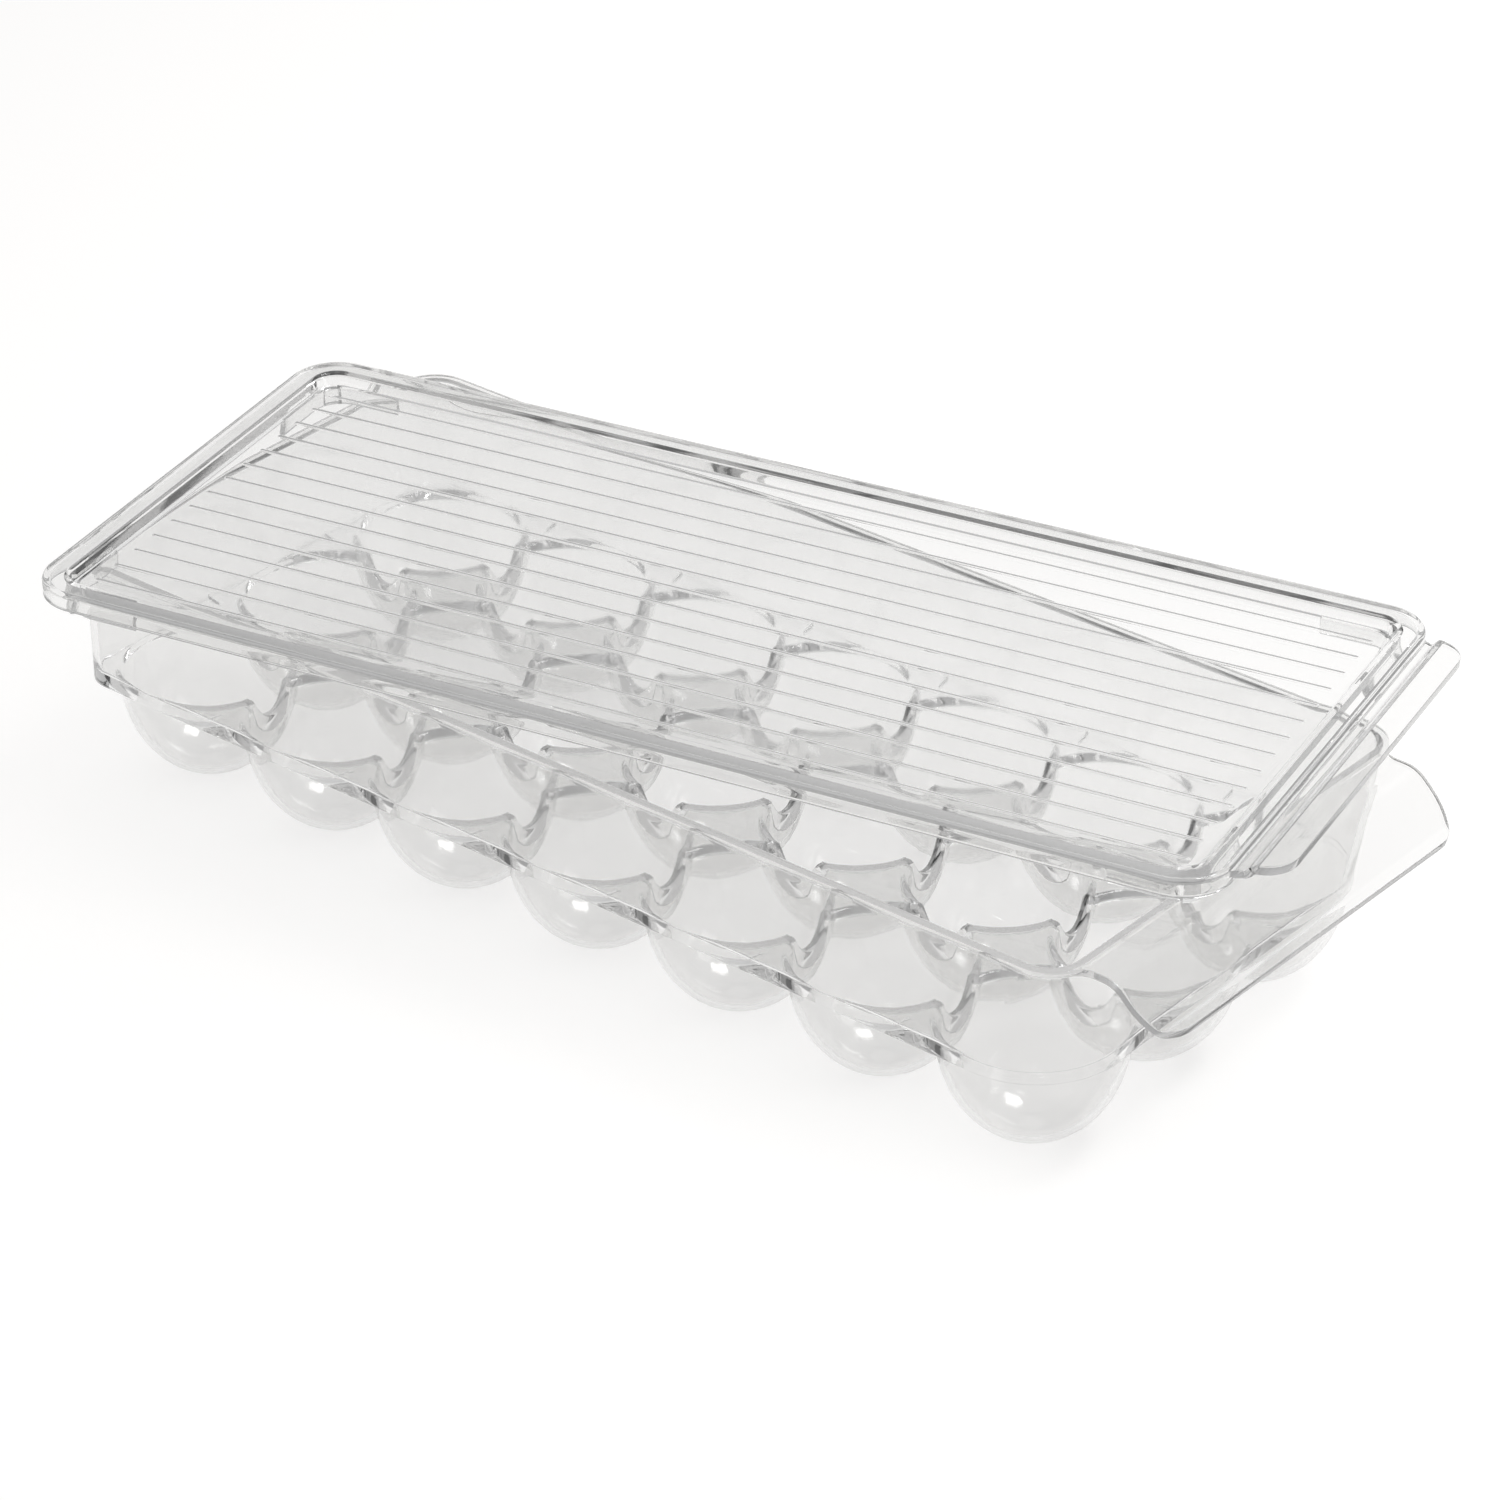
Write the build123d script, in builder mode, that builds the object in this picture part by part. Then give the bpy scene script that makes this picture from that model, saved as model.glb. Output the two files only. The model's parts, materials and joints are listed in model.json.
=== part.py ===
import os
from math import cos, radians, sin, sqrt

from build123d import *

os.makedirs("parts", exist_ok=True)

# An egg tray with a loose lid, both moulded in clear plastic. All sizes are in millimetres.
# The origin is on the surface that the tray stands on, under the middle cup. X runs along
# the tray to its pull handle, Y to the back and Z up.

# Egg cups, on a square grid
cup_pitch = 48.0
cups_long = 7
cups_wide = 3
cup_radius = 25.0  # outside, at the cup's widest line
cup_depth = 30.0  # outside, from the widest line to the end of the round bottom
cup_wall = 1.8
foot_trim = 0.3  # taken off the round bottom, which leaves a small flat to stand on

# Deck that joins the cups
deck_thickness = 3.0
deck_rise = 0.5  # from the cups' widest line to the deck's underside
lip_radius = 2.2  # round edge of each cup's mouth
saddle_radius = 5.5  # notch between two neighbouring cups
saddle_drop = 4.0  # from the widest line to the bottom of the notch

# Walls and their rim
wall_thickness = 2.0
wall_height = 34.9  # from the deck's top to the rim's top
wall_margin = 0.4  # from the outer cups' outside to the wall's outside at its foot
wall_flare = 0.5  # how far the wall leans out over its height
rim_reach = 1.0  # how far the rim stands out from the wall
rim_thickness = 1.8
rim_corner_radius = 11.5
left_foot_radius = 9.5  # outside corners of the deck and walls, at the end without the handle

# Pull handle, a curved plate on the right end of the rim
handle_thickness = 2.0
handle_side_gap = 9.4  # from the rim's side to the handle's side
handle_level = 10.0  # level run, from the rim out to the bend
handle_run = 11.8  # length of the slope, measured level
handle_drop = 11.2  # height of the slope
handle_lip = 3.8  # short edge that turns outwards again
handle_lip_drop = 0.6
handle_bend_radius = 9.0
handle_lip_radius = 3.0
handle_corner_radius = 11.0
handle_blend_radius = 5.0  # between the handle's side and the rim's corner

# Lid
rim_gap = 0.6  # between the tray's rim and the lid's skirt, and the rim and the channel
skirt_thickness = 2.0
panel_thickness = 2.0
ridge_height = 3.5  # the lid's edge above its ribbed panel
ridge_width = 7.0  # flat top of the lid's edge
ridge_slope = 2.5  # level width of the slope from the edge down to the panel
lid_top_thickness = 2.0  # over the channel that drops on the tray's rim
groove_count = 14
groove_pitch = 9.42
groove_length = 321.3
groove_width = 1.8
groove_depth = 0.6

# Locating ribs under the lid's corners
rib_inset = 7.0  # from the lid's edge to the rib's outer face
rib_thickness = 1.6
rib_depth = 5.0
rib_leg_x = 24.0
rib_leg_y = 27.0
rib_corner_radius = 10.0

# Pull tab of the lid
tab_reach = 13.5
tab_side_gap = 14.0  # from the lid's side to the tab's side
tab_thickness = 2.2
tab_rise = 0.6  # its top above the top of the lid's edge
tab_corner_radius = 9.0
tab_blend_radius = 4.0

# How the lid lies on the tray: level, turned, with its ribs just over the rim
lid_turn = 12.4  # degrees, anticlockwise from above
lid_shift_x = -1.4
lid_shift_y = 7.0
lid_gap = 0.3

# Heights
widest_z = cup_depth - foot_trim
deck_bottom = widest_z + deck_rise
deck_top = deck_bottom + deck_thickness
rim_top = deck_top + wall_height
panel_top = rim_top + lid_gap + rib_depth + panel_thickness

# Plan sizes. An offset is measured outwards from the centres of the outermost cups.
row_end_x = cup_pitch * (cups_long - 1) / 2
row_end_y = cup_pitch * (cups_wide - 1) / 2
bore_radius = cup_radius - cup_wall
foot_offset = cup_radius + wall_margin
top_offset = foot_offset + wall_flare
rim_offset = top_offset + rim_reach
rim_end_x = row_end_x + rim_offset
lid_half_x = rim_end_x + rim_gap + skirt_thickness
lid_half_y = row_end_y + rim_offset + rim_gap + skirt_thickness
lid_corner_radius = rim_corner_radius + rim_gap + skirt_thickness
handle_half_width = row_end_y + rim_offset - handle_side_gap
tab_half_width = lid_half_y - tab_side_gap
wide = 2 * (lid_half_x + lid_half_y)  # wider than anything, for cutting blocks
round_weight = 4 / 3 * (sqrt(2) - 1)  # places a Bezier curve's handles for a quarter round


def tray_outline(offset, right_radius, left_radius, mode=Mode.ADD):
    # outline round the tray, with its own corner radius at each end
    length = 2 * (row_end_x + offset)
    width = 2 * (row_end_y + offset)
    outline = Rectangle(length, width, mode=Mode.PRIVATE).face()
    outline = outline.fillet_2d(right_radius, outline.vertices().group_by(Axis.X)[-1])
    outline = outline.fillet_2d(left_radius, outline.vertices().group_by(Axis.X)[0])
    add(outline, mode=mode)


def foot_outline(inset=0, mode=Mode.ADD):
    # the deck's outline; its right corners run round the end cups
    offset = foot_offset - inset
    tray_outline(offset, offset, left_foot_radius - inset, mode=mode)


def top_outline(inset=0, mode=Mode.ADD):
    # the walls' outline at the rim
    radius = rim_corner_radius - rim_reach - inset
    tray_outline(top_offset - inset, radius, radius, mode=mode)


def rim_outline(mode=Mode.ADD):
    tray_outline(rim_offset, rim_corner_radius, rim_corner_radius, mode=mode)


def lid_outline(inset, corner_radius=lid_corner_radius, mode=Mode.ADD):
    # the lid's outline, drawn in by an inset
    length = 2 * (lid_half_x - inset)
    width = 2 * (lid_half_y - inset)
    RectangleRounded(length, width, corner_radius, mode=mode)


def lid_plane(height):
    # level plane of the lid, at a height above the panel's top
    turn = radians(lid_turn)
    return Plane(
        origin=(lid_shift_x, lid_shift_y, panel_top + height),
        x_dir=(cos(turn), sin(turn), 0),
        z_dir=(0, 0, 1),
    )


def block(low, high, mode=Mode.ADD):
    # rectangle between two corners
    size = Vector(*high) - Vector(*low)
    with Locations((Vector(*low) + Vector(*high)) / 2):
        Rectangle(size.X, size.Y, mode=mode)


def ring_zones(edge_x, edge_y):
    # the eight zones of a ring round a rectangle: four sides and four corners
    spans_x = {"left": (-wide, -edge_x), "": (-edge_x, edge_x), "right": (edge_x, wide)}
    spans_y = {"front": (-wide, -edge_y), "": (-edge_y, edge_y), "back": (edge_y, wide)}
    zones = {}
    for side_y, (low_y, high_y) in spans_y.items():
        for side_x, (low_x, high_x) in spans_x.items():
            if side_x or side_y:
                name = "_".join(word for word in (side_y, side_x) if word)
                zones[name] = ((low_x, low_y), (high_x, high_y))
    return zones


def quarter_oval(radius, depth, height):
    # half section of a cup: an oval bottom below the widest line, straight above it
    Polyline((0, -depth), (0, height), (radius, height), (radius, 0))
    Bezier(
        (radius, 0),
        (radius, -depth * round_weight),
        (radius * round_weight, -depth),
        (0, -depth),
    )


def save(piece, name):
    piece.part.label = name
    export_step(piece.part, f"parts/{name}.step")


# ---- Cups, each with its own square of the deck ----
row_names = {0: "front", cups_wide - 1: "back"}
for row in range(cups_wide):
    for column in range(cups_long):
        centre_x = (column - (cups_long - 1) / 2) * cup_pitch
        centre_y = (row - (cups_wide - 1) / 2) * cup_pitch
        # an outer cup's square runs on to the wall's outside
        reach_low_x = wide if column == 0 else cup_pitch / 2
        reach_high_x = wide if column == cups_long - 1 else cup_pitch / 2
        reach_low_y = wide if row == 0 else cup_pitch / 2
        reach_high_y = wide if row == cups_wide - 1 else cup_pitch / 2
        cell_low = (centre_x - reach_low_x, centre_y - reach_low_y)
        cell_high = (centre_x + reach_high_x, centre_y + reach_high_y)
        cup_axis = Axis((centre_x, centre_y, 0), (0, 0, 1))
        # half section of the cup, with its own X outwards and Y up from the widest line
        section = Plane(origin=(centre_x, centre_y, widest_z), x_dir=(1, 0, 0), z_dir=(0, -1, 0))
        mouth_height = deck_top - widest_z

        # what is taken out of the deck for the mouth's round edge, kept inside the walls
        with BuildPart() as mouth:
            with BuildSketch(section):
                with Locations((0, mouth_height - lip_radius)):
                    Rectangle(bore_radius + lip_radius, lip_radius, align=(Align.MIN, Align.MIN))
                with Locations((bore_radius + lip_radius, mouth_height - lip_radius)):
                    Circle(lip_radius, mode=Mode.SUBTRACT)
            revolve(axis=cup_axis)
            with BuildSketch(Plane.XY.offset(deck_bottom)):
                foot_outline(inset=wall_thickness)
            extrude(amount=deck_thickness, mode=Mode.INTERSECT)

        with BuildPart() as cup:
            with BuildSketch(section):
                with BuildLine():
                    quarter_oval(cup_radius, cup_depth, deck_rise)
                make_face()
                with Locations((0, -widest_z)):
                    Rectangle(wide, wide, align=(Align.MIN, Align.MIN), mode=Mode.INTERSECT)
            revolve(axis=cup_axis)
            with BuildSketch(Plane.XY):
                block(cell_low, cell_high)
            extrude(amount=deck_bottom, mode=Mode.INTERSECT)
            with BuildSketch(Plane.XY.offset(deck_bottom)):
                foot_outline()
                block(cell_low, cell_high, mode=Mode.INTERSECT)
            extrude(amount=deck_thickness)
            with BuildSketch(section):
                with BuildLine():
                    quarter_oval(bore_radius, cup_depth - cup_wall, mouth_height)
                make_face()
            revolve(axis=cup_axis, mode=Mode.SUBTRACT)
            add(mouth.part, mode=Mode.SUBTRACT)
            # notches towards the neighbouring cups
            for step_x, step_y in ((1, 0), (-1, 0), (0, 1), (0, -1)):
                if not (0 <= column + step_x < cups_long and 0 <= row + step_y < cups_wide):
                    continue
                notch_plane = Plane(
                    origin=(centre_x, centre_y, widest_z - saddle_drop + saddle_radius),
                    x_dir=(-step_y, step_x, 0),
                    z_dir=(step_x, step_y, 0),
                )
                with BuildSketch(notch_plane):
                    Circle(saddle_radius)
                extrude(amount=cup_pitch / 2, mode=Mode.SUBTRACT)
        save(cup, f"cup_{row_names.get(row, 'middle')}_{column + 1}")

# ---- Walls: one leaning shell with a rim, cut into sides and corners ----
with BuildPart() as wall_shell:
    with BuildSketch(Plane.XY.offset(deck_top)):
        foot_outline()
    with BuildSketch(Plane.XY.offset(rim_top)):
        top_outline()
    loft(ruled=True)
    with BuildSketch(Plane.XY.offset(rim_top - rim_thickness)):
        rim_outline()
    extrude(amount=rim_thickness)
    with BuildSketch(Plane.XY.offset(deck_top)):
        foot_outline(inset=wall_thickness)
    with BuildSketch(Plane.XY.offset(rim_top)):
        top_outline(inset=wall_thickness)
    loft(ruled=True, mode=Mode.SUBTRACT)

for zone, (zone_low, zone_high) in ring_zones(row_end_x, row_end_y).items():
    with BuildPart() as wall:
        add(wall_shell.part)
        with BuildSketch(Plane.XY.offset(deck_top)):
            block(zone_low, zone_high)
        extrude(amount=wall_height, mode=Mode.INTERSECT)
    save(wall, f"tray_corner_{zone}" if "_" in zone else f"tray_wall_{zone}")

# ---- Pull handle: a bent plate, trimmed to its outline from above ----
with BuildPart() as pull_handle:
    with BuildSketch(Plane.XZ.offset(-wide / 2)):
        with BuildLine():
            FilletPolyline(
                (row_end_x, rim_top),
                (rim_end_x + handle_level, rim_top),
                (rim_end_x + handle_level + handle_run, rim_top - handle_drop),
                (
                    rim_end_x + handle_level + handle_run + handle_lip,
                    rim_top - handle_drop - handle_lip_drop,
                ),
                radius=(handle_bend_radius, handle_lip_radius),
            )
            offset(amount=handle_thickness, side=Side.RIGHT)
        make_face()
    extrude(amount=wide)
    with BuildSketch(Plane.XY) as handle_outline:
        handle_end = rim_end_x + handle_level + handle_run + handle_lip
        rim_outline()
        block((row_end_x, -handle_half_width), (handle_end, handle_half_width))
        # out and back in again, which rounds only the inside corners
        offset(amount=handle_blend_radius)
        offset(amount=-handle_blend_radius)
        fillet(handle_outline.vertices().group_by(Axis.X)[-1], handle_corner_radius)
        rim_outline(mode=Mode.SUBTRACT)
    extrude(amount=rim_top, mode=Mode.INTERSECT)
save(pull_handle, "pull_handle")

# ---- Lid: a raised hollow edge round a ribbed panel ----
panel_inset = ridge_width + ridge_slope
panel_corner_radius = lid_corner_radius - panel_inset
channel_outer_inset = skirt_thickness
channel_inner_inset = skirt_thickness + rim_gap + rim_reach + wall_thickness + rim_gap
lid_height = panel_thickness + ridge_height

with BuildPart() as lid_edge:
    with BuildSketch(lid_plane(-panel_thickness)):
        lid_outline(0)
    extrude(amount=lid_height)
    # the recess over the panel, wider at its top
    with BuildSketch(lid_plane(-panel_thickness)):
        lid_outline(panel_inset, panel_corner_radius)
    extrude(amount=lid_height, mode=Mode.SUBTRACT)
    with BuildSketch(lid_plane(0)):
        lid_outline(panel_inset, panel_corner_radius)
    with BuildSketch(lid_plane(ridge_height)):
        lid_outline(ridge_width, panel_corner_radius + ridge_slope)
    loft(ruled=True, mode=Mode.SUBTRACT)
    # the channel underneath, which drops over the tray's rim
    with BuildSketch(lid_plane(-panel_thickness)):
        lid_outline(channel_outer_inset, lid_corner_radius - channel_outer_inset)
        lid_outline(
            channel_inner_inset, lid_corner_radius - channel_inner_inset, mode=Mode.SUBTRACT
        )
    extrude(amount=lid_height - lid_top_thickness, mode=Mode.SUBTRACT)

lid_zones = ring_zones(lid_half_x - lid_corner_radius, lid_half_y - lid_corner_radius)
for zone, (zone_low, zone_high) in lid_zones.items():
    with BuildPart() as edge:
        add(lid_edge.part)
        with BuildSketch(lid_plane(-panel_thickness)):
            block(zone_low, zone_high)
        extrude(amount=lid_height, mode=Mode.INTERSECT)
    save(edge, f"lid_corner_{zone}" if "_" in zone else f"lid_edge_{zone}")

with BuildPart() as lid_panel:
    with BuildSketch(lid_plane(-panel_thickness)):
        lid_outline(panel_inset, panel_corner_radius)
    extrude(amount=panel_thickness)
    with BuildSketch(lid_plane(0)):
        with GridLocations(0, groove_pitch, 1, groove_count):
            SlotOverall(groove_length, groove_width)
    extrude(amount=-groove_depth, mode=Mode.SUBTRACT)
save(lid_panel, "lid_panel")

# ---- Locating ribs, an angle under each corner of the lid ----
rib_half_x = lid_half_x - rib_inset
rib_half_y = lid_half_y - rib_inset
for side_y, name_y in ((-1, "front"), (1, "back")):
    for side_x, name_x in ((-1, "left"), (1, "right")):
        corner = Vector(side_x * rib_half_x, side_y * rib_half_y)
        inner_end = corner - Vector(side_x * rib_leg_x, side_y * rib_leg_y)
        low = (min(corner.X, inner_end.X), min(corner.Y, inner_end.Y))
        high = (max(corner.X, inner_end.X), max(corner.Y, inner_end.Y))
        with BuildPart() as rib:
            with BuildSketch(lid_plane(-panel_thickness)):
                lid_outline(rib_inset, rib_corner_radius)
                lid_outline(
                    rib_inset + rib_thickness, rib_corner_radius - rib_thickness, Mode.SUBTRACT
                )
                block(low, high, mode=Mode.INTERSECT)
            extrude(amount=-rib_depth)
        save(rib, f"locating_rib_{name_y}_{name_x}")

# ---- Pull tab, a level plate out of the lid's right edge ----
with BuildPart() as pull_tab:
    with BuildSketch(lid_plane(ridge_height + tab_rise - tab_thickness)) as tab_outline:
        tab_end = lid_half_x + tab_reach
        lid_outline(0)
        block((0, -tab_half_width), (tab_end, tab_half_width))
        offset(amount=tab_blend_radius)
        offset(amount=-tab_blend_radius)
        fillet(tab_outline.vertices().group_by(Axis.X)[-1], tab_corner_radius)
        lid_outline(0, mode=Mode.SUBTRACT)
    extrude(amount=tab_thickness)
save(pull_tab, "pull_tab")
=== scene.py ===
import json
from math import asin, atan2, cos, hypot, pi, radians, sin, sqrt, tan

import bmesh
import bpy
from mathutils import Matrix, Vector


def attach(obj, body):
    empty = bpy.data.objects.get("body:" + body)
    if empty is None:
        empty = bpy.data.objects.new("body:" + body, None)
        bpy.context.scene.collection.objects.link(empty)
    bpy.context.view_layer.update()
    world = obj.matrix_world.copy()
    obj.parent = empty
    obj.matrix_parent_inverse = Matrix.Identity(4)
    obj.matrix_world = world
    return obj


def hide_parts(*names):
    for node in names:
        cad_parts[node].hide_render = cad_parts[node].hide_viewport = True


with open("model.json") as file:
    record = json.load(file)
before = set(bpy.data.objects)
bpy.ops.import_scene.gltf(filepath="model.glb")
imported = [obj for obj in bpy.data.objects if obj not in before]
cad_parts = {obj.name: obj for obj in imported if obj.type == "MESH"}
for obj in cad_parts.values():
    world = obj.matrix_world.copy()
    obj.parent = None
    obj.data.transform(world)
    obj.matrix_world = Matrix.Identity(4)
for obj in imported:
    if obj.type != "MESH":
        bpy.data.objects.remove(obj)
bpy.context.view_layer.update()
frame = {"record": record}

metresPerMm = 0.001
cm3PerM3 = 1e6
nearMm = 0.01       # points closer than this are one point
sliverMm = 0.0005   # edges shorter than this are dissolved

# Sizes are in millimetres, in the frame of the solids: the origin is under the middle cup,
# X runs to the pull handle, Y to the back and Z up.
grid = {
    "cupPitch": 48.0,
    "cupsLong": 7,
    "cupsWide": 3,
    "widestZ": 29.7,        # widest line of the cups
    "deckBottom": 30.2,
    "deckTop": 33.2,
    "rimTop": 68.1,
}
endX = grid["cupPitch"] * (grid["cupsLong"] - 1) / 2    # centres of the end cups
endY = grid["cupPitch"] * (grid["cupsWide"] - 1) / 2


def append(bm, part):
    # adds one worked mesh to another
    carrier = bpy.data.meshes.new("carrier")
    part.to_mesh(carrier)
    part.free()
    bm.from_mesh(carrier)
    bpy.data.meshes.remove(carrier)


def finishPiece(bm, name, body, nodes, sharpAngle=32.0):
    # cleans a mesh, turns it to metres and sets it in place of its solids
    bmesh.ops.dissolve_degenerate(bm, dist=sliverMm, edges=bm.edges)
    bmesh.ops.recalc_face_normals(bm, faces=bm.faces)
    bmesh.ops.scale(bm, vec=(metresPerMm,) * 3, verts=bm.verts)
    for face in bm.faces:
        face.smooth = True
    for edge in bm.edges:
        edge.smooth = len(edge.link_faces) != 2 or edge.calc_face_angle(0) < radians(sharpAngle)
    loose = sum(1 for edge in bm.edges if len(edge.link_faces) != 2)
    volume = bm.calc_volume(signed=True) * cm3PerM3
    mesh = bpy.data.meshes.new(name)
    bm.to_mesh(mesh)
    bm.free()
    piece = bpy.data.objects.new(name, mesh)
    bpy.context.scene.collection.objects.link(piece)
    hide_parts(*nodes)
    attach(piece, body)
    print(f"{name}: {len(mesh.polygons)} faces, {loose} open edges, {volume:.1f} cm3")
    return piece


# ---- Tray ----
tray = {
    "cupRadius": 25.0,          # outside, at the widest line
    "cupDepth": 30.0,
    "footDepth": 29.7,          # the flat that the tray stands on
    "footShare": 0.6,           # where its ring of points lies
    "boreRadius": 23.2,
    "boreDepth": 28.2,
    "lipRadius": 2.2,           # round edge of a mouth
    "lipShare": 0.85,           # the most of the deck's width that it takes
    "lipShareAtWall": 0.5,
    "belowLip": 0.5,            # the bowl ends this far under it
    "saddleDrop": 4.0,          # bottom of the notch between two cups, under the widest line
    "saddleHalfWidth": 7.6,
    "saddlePowers": (2.4, 1.25),    # how its bottom and its sides bend
    "underFillet": 0.9,         # outside, where a cup meets the deck
    "underFilletShare": 0.6,
    "creaseFillet": 0.45,       # outside, between two cups
    "footInside": 23.4,         # offsets of the walls from the end cups' centres
    "footOutside": 25.4,
    "wallLean": 0.5,
    "leftFootRadius": 9.5,      # the left corners keep this radius down to the deck
    "topInsideRadius": 8.5,     # corner radii at the rim's top
    "topOutsideRadius": 10.5,
    "wallFillet": 1.5,          # inside, where the deck turns up into the wall
    "wallFilletShare": 0.4,     # the most of the deck's width that it takes
    "wallShares": (0.15, 0.3, 0.45, 0.6, 0.75, 0.88),   # outlines on the way up the wall
    "straightShare": 0.25,      # of a tight corner's points, on each straight beside its arc
    "rimOffset": 26.9,
    "rimRadius": 11.5,
    "rimThickness": 1.8,
    "rimBend": 0.9,
    "edgeRound": 0.45,
    "spokesPerOctant": 10,
    "spokeGathering": 1.3,      # draws the spokes to the notches
    "insideRings": 21,
    "bowlRing": 10,             # last ring of the bowl, and then of the lip
    "lipRing": 15,
    "outsideRings": 17,
    "footRing": 2,              # first ring of the round outside
    "ballRing": 11,             # its last
    "underRing": 14,            # last ring of the fillet outside
}
spokeCount = 8 * tray["spokesPerOctant"]


def spokesAndRings(rings):
    # a line of points, spun into rings and spokes 1 mm apart
    bm = bmesh.new()
    ends = [bm.verts.new((0, 0, 0)), bm.verts.new((rings - 1, 0, 0))]
    line = bm.edges.new(ends)
    bmesh.ops.subdivide_edges(bm, edges=[line], cuts=rings - 2)
    bmesh.ops.spin(
        bm, geom=bm.verts[:] + bm.edges[:], axis=(0, 0, 1), cent=(0, 0, 0),
        angle=2 * pi, steps=spokeCount, use_merge=True,
    )
    bmesh.ops.remove_doubles(bm, verts=bm.verts, dist=nearMm)
    return bm


def footRadius(offset, left):
    # corner radius of the deck's outline: at the right it runs round the end cups
    return tray["leftFootRadius"] - tray["footOutside"] + offset if left else offset


def roundCorner(share, offset, radius):
    # a point of an outline's corner, from its cup's centre
    straight = offset - radius
    run = tray["straightShare"] if straight > nearMm else 0
    if share < run:
        return offset, straight * share / run
    if share > 1 - run:
        return straight * (1 - share) / run, offset
    angle = pi / 2 * (share - run) / (1 - 2 * run)
    return straight + radius * cos(angle), straight + radius * sin(angle)


def cellEdge(spoke, sides):
    # where a spoke meets the edge of its cell, and how far from the line to the next cup
    perOctant = tray["spokesPerOctant"]
    quarter, step = divmod(spoke, 2 * perOctant)
    (first, firstWall), (second, secondWall) = sides[quarter], sides[(quarter + 1) % 4]
    notch = None
    if firstWall and secondWall:
        radius = footRadius(first, quarter in (1, 2))
        along, across = roundCorner(step / (2 * perOctant), first, radius)
    elif step <= perOctant:
        share = (step / perOctant) ** tray["spokeGathering"]
        along, across = first, second * tan(pi / 4 * share)
        notch = None if firstWall else across
    else:
        share = ((2 * perOctant - step) / perOctant) ** tray["spokeGathering"]
        along, across = first * tan(pi / 4 * share), second
        notch = None if secondWall else along
    atWall = (firstWall and step <= perOctant) or (secondWall and step >= perOctant)
    x, y = ((along, across), (-across, along), (-along, -across), (across, -along))[quarter]
    return x, y, notch, atWall


def insidePoint(ring, reach, notch, atWall):
    # radius and height of a point of the inner skin, from the widest line
    top = grid["deckTop"] - grid["widestZ"]
    if notch is not None and notch < tray["saddleHalfWidth"]:
        share = notch / tray["saddleHalfWidth"]
        bottomPower, sidePower = tray["saddlePowers"]
        top -= (top + tray["saddleDrop"]) * (1 - share**bottomPower) ** sidePower
    room = reach - tray["boreRadius"]
    lipShare = tray["lipShareAtWall"] if atWall else tray["lipShare"]
    lip = min(tray["lipRadius"], lipShare * room)
    lipStart = top - lip
    bowlTop = min(0.0, lipStart - tray["belowLip"])
    bowlRing, lipRing = tray["bowlRing"], tray["lipRing"]
    if ring <= bowlRing:
        bowlEnd = asin(bowlTop / tray["boreDepth"])
        angle = -pi / 2 + (bowlEnd + pi / 2) * ring / bowlRing
        return tray["boreRadius"] * cos(angle), tray["boreDepth"] * sin(angle)
    start = tray["boreRadius"] * sqrt(1 - (min(lipStart, 0) / tray["boreDepth"]) ** 2)
    if ring <= lipRing:
        turn = pi / 2 * (ring - bowlRing - 1) / (lipRing - bowlRing - 1)
        return start + lip * (1 - cos(turn)), lipStart + lip * sin(turn)
    if not atWall:
        share = (ring - lipRing) / (tray["insideRings"] - 1 - lipRing)
        return start + lip + (reach - start - lip) * share, top
    fillet = min(tray["wallFillet"], tray["wallFilletShare"] * room)
    if ring == lipRing + 1:
        return (start + lip + reach - fillet) / 2, top
    turn = pi / 2 * (ring - lipRing - 2) / (tray["insideRings"] - 3 - lipRing)
    return reach - fillet * (1 - sin(turn)), top + tray["wallFillet"] * (1 - cos(turn))


def outsidePoint(ring, reach):
    # the same for the outer skin
    radius, depth = tray["cupRadius"], tray["cupDepth"]
    footRing, ballRing, underRing = tray["footRing"], tray["ballRing"], tray["underRing"]
    footAngle = -asin(tray["footDepth"] / depth)
    if ring < footRing:
        return tray["footShare"] * ring * radius * cos(footAngle), -tray["footDepth"]
    under = grid["deckBottom"] - grid["widestZ"]
    crease = reach < radius
    if crease:
        start = reach - tray["creaseFillet"]
        level = -depth * sqrt(1 - (start / radius) ** 2)
    else:
        level = under - tray["underFillet"]
        start = radius * sqrt(1 - (level / depth) ** 2)
    if ring <= ballRing:
        share = (ring - footRing) / (ballRing - footRing)
        angle = footAngle + (asin(level / depth) - footAngle) * share
        return radius * cos(angle), depth * sin(angle)
    if crease:
        share = (ring - ballRing) / (tray["outsideRings"] - 1 - ballRing)
        slope = -depth / radius * (start / radius) / (level / depth)
        width = tray["creaseFillet"]
        return start + width * share, level + slope * width * (share - share**2 / 2)
    fillet = min(tray["underFillet"], tray["underFilletShare"] * (reach - start))
    if ring <= underRing:
        turn = pi / 2 * (ring - ballRing) / (underRing - ballRing)
        return start + fillet * (1 - cos(turn)), level + tray["underFillet"] * sin(turn)
    share = (ring - underRing) / (tray["outsideRings"] - 1 - underRing)
    return start + fillet + (reach - start - fillet) * share, under


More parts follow.
